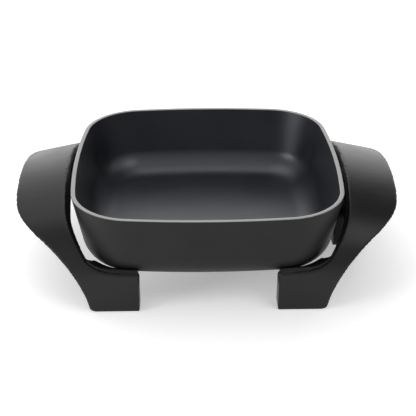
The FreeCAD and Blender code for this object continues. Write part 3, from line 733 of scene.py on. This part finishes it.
def terminal_boss(under):
    """Rounded block behind the bushes, its top cut to slope inside the pan's wall."""
    low = underside_sizes()
    front, back = BUSH_LOW[0], BUSH_LOW[0] - low.block_length
    bottom, top = under - low.block_below, under + low.block_above
    block = box("terminal_boss", ((front + back) / 2, 0, (bottom + top) / 2),
                (front - back, 2 * low.block_half, top - bottom))
    soften(block, low.block_round, segments=4, sharper=60)
    # Up at 30 degrees from just below the underside at the back
    slope, foot = (-0.5, 0, 0.866), (back, 0, under - OVERSHOOT)
    cut_above(block, foot, slope)
    return block


def mounting_bosses(under):
    """Four round bosses on the spacers, each cut to slope with the pan's wall."""
    low = underside_sizes()
    spacer_low, spacer_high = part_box("right_spacers")
    radius = (spacer_high[0] - spacer_low[0]) / 2
    x, y = spacer_high[0] - radius, spacer_high[1] - radius
    seat = spacer_high[2]
    boss = rod("boss", radius, seat, seat + low.boss_height, at=(x, y), sides=SIDES)
    # The wall rises outwards, mostly along y, by this much for each unit
    rise, away = 0.62, Vector((0.29, 0.96, 0))
    cut_above(boss, (x, y, under + low.boss_cut), (Vector((0, 0, 1)) - rise * away).normalized())
    made = [placed_copy(boss, "boss", Matrix.Diagonal((sx, sy, 1, 1)))
            for sx in (-1, 1) for sy in (-1, 1)]
    bpy.data.objects.remove(boss, do_unlink=True)
    bosses = join("mounting_bosses", made)
    soften(bosses, low.boss_round)
    return bosses


class SKILLET_OT_underside(bpy.types.Operator):
    """Ridge over the element, terminal boss and the four mounting bosses"""
    bl_idname = "skillet.underside"
    bl_label = "Underside"

    def execute(self, context):
        under = RIM_HEIGHT - pan_sizes().depth
        coat = bpy.data.materials["outside_coat"]
        for build in (element_ridge, terminal_boss, mounting_bosses):
            dress(build(under), coat, "pan_coat")
        return {"FINISHED"}


def is_shaded_return(face):
    """Whether a moulding's face belongs to the wall beside the pan, whose darker finish is partly
    painted shade.
    """
    skin = moulding_sizes()
    x, y, z = face.center
    # Under a fifth of the face's normal points away from the pan's middle
    inward = face.normal.x * x + face.normal.y * y < 0.2 * math.hypot(x, y)
    return inward and beyond_rim(x, y) < skin.return_reach and z > skin.return_foot


class SKILLET_OT_mouldings(bpy.types.Operator):
    """Arched handle and leg mouldings, both sides, with soft moulded edges"""
    bl_idname = "skillet.mouldings"
    bl_label = "Mouldings"

    def execute(self, context):
        skin = moulding_sizes()
        black = moulding_material("black_moulding", gloss=(0.34, 0.40), shine=0.33)
        # The return wall's finish reflects less, which darkens it as painted shade for the
        # shadowed recess; its rougher gloss is the moulded skin's own.
        dull_and_shaded = moulding_material("matt_shaded_return", gloss=(0.60, 0.70), shine=0.10)
        for side in ("left", "right"):
            node = side + "_handle_leg"
            piece = merged_copy(node, side + "_moulding")
            remesh = piece.modifiers.new("even_skin", "REMESH")
            remesh.mode = "VOXEL"
            remesh.voxel_size = skin.cell
            relax = piece.modifiers.new("soft_edges", "SMOOTH")
            relax.factor = 0.5
            relax.iterations = skin.relax
            apply_all(piece)
            piece.data.shade_smooth()
            dress(piece, black, "moulding", node)
            piece.data.materials.append(dull_and_shaded)
            for face in piece.data.polygons:
                face.material_index = int(is_shaded_return(face))
        return {"FINISHED"}


def contact_pin():
    """Front pin with a rounded end, on a slimmer neck through its bush."""
    fit = fitting_sizes()
    at = (-PIN_SIDE, PIN_HEIGHT)
    pin = rod("pin", PIN_RADIUS, BUSH_HIGH[0], PIN_HIGH[0], "x", at)
    round_end(pin, (1, 0, 0), fit.pin_round, segments=5)
    bpy.ops.object.shade_smooth_by_angle(angle=SMOOTH_ANGLE)
    neck = rod("pin_neck", PIN_RADIUS - fit.neck_step, PIN_LOW[0], BUSH_HIGH[0], "x", at,
               SHANK_SIDES)
    return join("contact_pin_front", [pin, neck])


def fired_bush():
    """Front bush, bored for the pin's neck."""
    fit = fitting_sizes()
    at = (-PIN_SIDE, PIN_HEIGHT)
    bush = rod("fired_bush_front", BUSH_RADIUS, BUSH_LOW[0], BUSH_HIGH[0], "x", at)
    bore = rod("bush_bore", PIN_RADIUS - fit.neck_step, BUSH_LOW[0] - OVERSHOOT,
               BUSH_HIGH[0] + OVERSHOOT, "x", at)
    combine(bush, bore, "DIFFERENCE")
    soften(bush, fit.bush_round, segments=3)
    return bush


def sensor_tube():
    """Tube between the pins, open to the front and closed at its inner end."""
    fit = fitting_sizes()
    low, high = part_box("sensor_well")
    radius = (high[2] - low[2]) / 2
    at = (0, PIN_HEIGHT)
    tube = rod("sensor_tube", radius, low[0], high[0], "x", at)
    bore = rod("tube_bore", radius - fit.tube_wall, low[0] + fit.tube_wall,
               high[0] + OVERSHOOT, "x", at)
    combine(tube, bore, "DIFFERENCE")
    soften(tube, fit.tube_round)
    return tube


class SKILLET_OT_terminals(bpy.types.Operator):
    """Terminal guard, pins, bushes and the sensor well"""
    bl_idname = "skillet.terminals"
    bl_label = "Terminals"

    def execute(self, context):
        enamel = finish_material("black_enamel", colours().enamel, gloss=(0.50, 0.58),
                                 depth=0.00003, shine=0.2)
        guard = merged_copy("terminal_guard", "terminal_shroud")
        edit(guard)
        bpy.ops.mesh.dissolve_limited(angle_limit=math.radians(1))
        finish_edit()
        soften(guard, fitting_sizes().guard_round)
        dress(guard, enamel, "guard_paint", "terminal_guard")

        pin_steel = steel_material("pin_steel", bright=1.1, gloss=(0.14, 0.22))
        fired = finish_material("fired_bush", colours().bush)
        pin, bush = contact_pin(), fired_bush()
        across = Matrix.Translation((0, 2 * PIN_SIDE, 0))
        rear = (placed_copy(pin, "contact_pin_rear", across),
                placed_copy(bush, "fired_bush_rear", across))
        for side, (its_pin, its_bush) in (("front", (pin, bush)), ("rear", rear)):
            dress(its_pin, pin_steel, "pin_steel", "terminal_pin_" + side)
            dress(its_bush, fired, "bush_ceramic", "terminal_bush_" + side)
        tube_steel = steel_material("tube_steel", bright=0.9, gloss=(0.28, 0.38))
        dress(sensor_tube(), tube_steel, "well_steel", "sensor_well")
        return {"FINISHED"}


def cross_recess(middle, across, along, head, depth):
    """Plus-shaped cutter for a screw's recess; across are the axes of its two bars."""
    bars = []
    for thin in across:
        spans = dict.fromkeys("xyz", BAR_LENGTH * head)
        spans[along] = 2 * depth
        spans[thin] *= BAR_WIDTH
        bars.append(box("recess", middle, tuple(spans.values())))
    combine(bars[0], bars[1], "UNION")
    return bars[0]


def foot_fittings():
    """One screw, lock washer and spacer at the right rear foot, and their place."""
    fit = fitting_sizes()
    low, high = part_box("right_screws")
    head = (high[0] - low[0]) / 2
    at = (high[0] - head, high[1] - head)
    washer_low, washer_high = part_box("right_lock_washers")
    spacer_low, spacer_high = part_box("right_spacers")

    cap = rod("screw_head", head, low[2], washer_low[2], at=at, sides=SIDES)
    round_end(cap, (0, 0, -1), fit.head_round, segments=4)
    combine(cap, cross_recess((*at, low[2]), "xy", "z", head, fit.recess), "DIFFERENCE")
    shank = rod("screw_shank", fit.shank, washer_low[2] - OVERLAP, high[2], at=at,
                sides=SHANK_SIDES)
    made = [join("screw", [cap, shank])]
    for name, (bottom, top) in (("washer", (washer_low, washer_high)),
                                ("spacer", (spacer_low, spacer_high))):
        disc = rod(name, (top[0] - bottom[0]) / 2, bottom[2], top[2], at=at, sides=SIDES)
        bore = rod("disc_bore", fit.bore, bottom[2] - OVERSHOOT, top[2] + OVERSHOOT, at=at,
                   sides=SIDES)
        combine(disc, bore, "DIFFERENCE")
        made.append(disc)
    return made, at


def guard_screws():
    """The guard's two screws, with their heads on its back wall."""
    fit = fitting_sizes()
    low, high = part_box("guard_screws")
    head = (high[2] - low[2]) / 2
    y, z = high[1] - head, high[2] - head
    seat = BUSH_LOW[0] + fit.guard_wall
    cap = rod("guard_head", head, seat, high[0], "x", (y, z), SIDES)
    round_end(cap, (1, 0, 0), fit.guard_head_round, segments=4)
    combine(cap, cross_recess((high[0], y, z), "yz", "x", head, fit.guard_recess), "DIFFERENCE")
    shank = rod("guard_shank", fit.guard_shank, low[0], seat + OVERLAP, "x", (y, z),
                THIN_SIDES)
    screw = join("guard_screw", [cap, shank])
    other = placed_copy(screw, "guard_screw", Matrix.Translation((0, -2 * y, 0)))
    pair = join("guard_screws_fitted", [screw, other])
    soften(pair, fit.guard_screw_round)
    return pair


class SKILLET_OT_fastenings(bpy.types.Operator):
    """Screws with driver recesses, lock washers and spacers"""
    bl_idname = "skillet.fastenings"
    bl_label = "Fastenings"

    def execute(self, context):
        fit = fitting_sizes()
        zinc = steel_material("zinc_plate", bright=1.0, gloss=(0.26, 0.36))
        board = finish_material("pressed_board", colours().board, gloss=(0.75, 0.85),
                                depth=0.00008)
        (screw, washer, spacer), (x, y) = foot_fittings()
        kinds = ((screw, "_screws", zinc, "fastener_steel", fit.screw_round),
                 (washer, "_lock_washers", zinc, "fastener_steel", fit.washer_round),
                 (spacer, "_spacers", board, "spacer_board", fit.screw_round))
        for side, moved in (("left", -2 * x), ("right", 0)):
            for first, kind, finish, slot, edge in kinds:
                pair = [placed_copy(first, "fitted", Matrix.Translation((moved, back, 0)))
                        for back in (-2 * y, 0)]
                made = join(side + kind + "_fitted", pair)
                soften(made, edge)
                dress(made, finish, slot, side + kind)
        for first in (screw, washer, spacer):
            bpy.data.objects.remove(first, do_unlink=True)
        dress(guard_screws(), zinc, "fastener_steel", "guard_screws")
        return {"FINISHED"}


class SKILLET_OT_element(bpy.types.Operator):
    """Finishes for the element's buried pieces, which keep their solids' shapes"""
    bl_idname = "skillet.element"
    bl_label = "Element"

    def execute(self, context):
        tones = colours()
        seal = finish_material("soft_seal", tones.seal, gloss=(0.5, 0.6))
        finishes = {
            "element_sheath": steel_material("sheath_tube", bright=0.75, gloss=(0.32, 0.42)),
            "element_insulation": finish_material("packed_powder", tones.powder,
                                                  gloss=(0.85, 0.95)),
            "element_coil": steel_material("wound_wire", bright=0.65, gloss=(0.30, 0.42)),
            "terminal_seal_front": seal,
            "terminal_seal_rear": seal,
        }
        for node, finish in finishes.items():
            for slot in bpy.data.objects[node].material_slots:
                slot.material = finish
        return {"FINISHED"}


def aimed(name, data, place, target):
    """Light or camera at its place, turned to its target."""
    made = bpy.data.objects.new(name, data)
    made.location = place
    made.rotation_euler = (Vector(target) - Vector(place)).to_track_quat("-Z", "Y").to_euler()
    bpy.context.scene.collection.objects.link(made)
    return made


def soft_studio():
    """World that is brighter towards the back, with one dark flag."""
    world = bpy.data.worlds.new("soft_studio")
    world.use_nodes = True
    tree = world.node_tree
    towards = tree.nodes.new("ShaderNodeTexCoord").outputs["Generated"]
    split = tree.nodes.new("ShaderNodeSeparateXYZ")
    tree.links.new(towards, split.inputs["Vector"])
    back = ranged(tree, split.outputs["Y"], -1.0, 1.0, 0.0, 1.0)
    glow = maths(tree, "MULTIPLY_ADD", maths(tree, "POWER", back, GLOW_POWER), BACK_GLOW,
                 FRONT_GLOW)
    facing = tree.nodes.new("ShaderNodeVectorMath")
    facing.operation = "DOT_PRODUCT"
    facing.inputs[1].default_value = FLAG_TOWARDS
    tree.links.new(towards, facing.inputs[0])
    flag = ranged(tree, facing.outputs["Value"], FLAG_EDGE, FLAG_MIDDLE, 1.0, 0.0)
    backdrop = tree.nodes["Background"]
    tree.links.new(maths(tree, "MULTIPLY", glow, flag), backdrop.inputs["Color"])
    return world


class SKILLET_OT_stage(bpy.types.Operator):
    """Pale floor, soft light and the camera"""
    bl_idname = "skillet.stage"
    bl_label = "Stage"

    def execute(self, context):
        scene = context.scene
        take(None)
        bpy.ops.mesh.primitive_plane_add(size=FLOOR_SIZE, location=(0, 0, 0))
        floor = settle(context.object, "floor")
        pale = finish_material("pale_floor", colours().floor, uneven=0.01, gloss=(0.85, 0.95),
                               depth=0.00001)
        shader = pale.node_tree.nodes["Principled BSDF"]
        shader.inputs["Emission Color"].default_value = (1.0, 1.0, 1.0, 1.0)
        shader.inputs["Emission Strength"].default_value = FLOOR_GLOW
        floor.data.materials.append(pale)

        scene.world = soft_studio()
        for name, place, width, depth, power in LIGHTS:
            lamp = bpy.data.lights.new(name, "AREA")
            lamp.energy = power
            lamp.shape = "RECTANGLE"
            lamp.size, lamp.size_y = width, depth
            aimed(name, lamp, place, LIGHT_TARGET)

        camera = aimed("camera", bpy.data.cameras.new("camera"), CAMERA_PLACE, CAMERA_TARGET)
        camera.data.sensor_width = SENSOR
        camera.data.lens = LENS
        scene.camera = camera
        scene.view_settings.view_transform = "Standard"
        return {"FINISHED"}


class SKILLET_PT_panel(bpy.types.Panel):
    """Lists the skillet's pieces"""
    bl_label = "Electric skillet"
    bl_space_type = "VIEW_3D"
    bl_region_type = "UI"
    bl_category = "Skillet"

    def draw(self, context):
        for step in STEPS:
            self.layout.operator(step.bl_idname)


STEPS = (SKILLET_OT_pan, SKILLET_OT_underside, SKILLET_OT_mouldings, SKILLET_OT_terminals,
         SKILLET_OT_fastenings, SKILLET_OT_element, SKILLET_OT_stage)
CLASSES = (PanSizes, UndersideSizes, MouldingSizes, FittingSizes, Finishes, *STEPS,
           SKILLET_PT_panel)


def register():
    for cls in CLASSES:
        bpy.utils.register_class(cls)
    bpy.types.Scene.skillet_pan = PointerProperty(type=PanSizes)
    bpy.types.Scene.skillet_underside = PointerProperty(type=UndersideSizes)
    bpy.types.Scene.skillet_mouldings = PointerProperty(type=MouldingSizes)
    bpy.types.Scene.skillet_fittings = PointerProperty(type=FittingSizes)
    bpy.types.Scene.skillet_finishes = PointerProperty(type=Finishes)


def unregister():
    del bpy.types.Scene.skillet_finishes
    del bpy.types.Scene.skillet_fittings
    del bpy.types.Scene.skillet_mouldings
    del bpy.types.Scene.skillet_underside
    del bpy.types.Scene.skillet_pan
    for cls in reversed(CLASSES):
        bpy.utils.unregister_class(cls)


def main():
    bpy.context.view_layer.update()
    register()
    bpy.ops.skillet.pan()
    bpy.ops.skillet.underside()
    bpy.ops.skillet.mouldings()
    bpy.ops.skillet.terminals()
    bpy.ops.skillet.fastenings()
    bpy.ops.skillet.element()
    bpy.ops.skillet.stage()


if __name__ == "__main__":
    main()
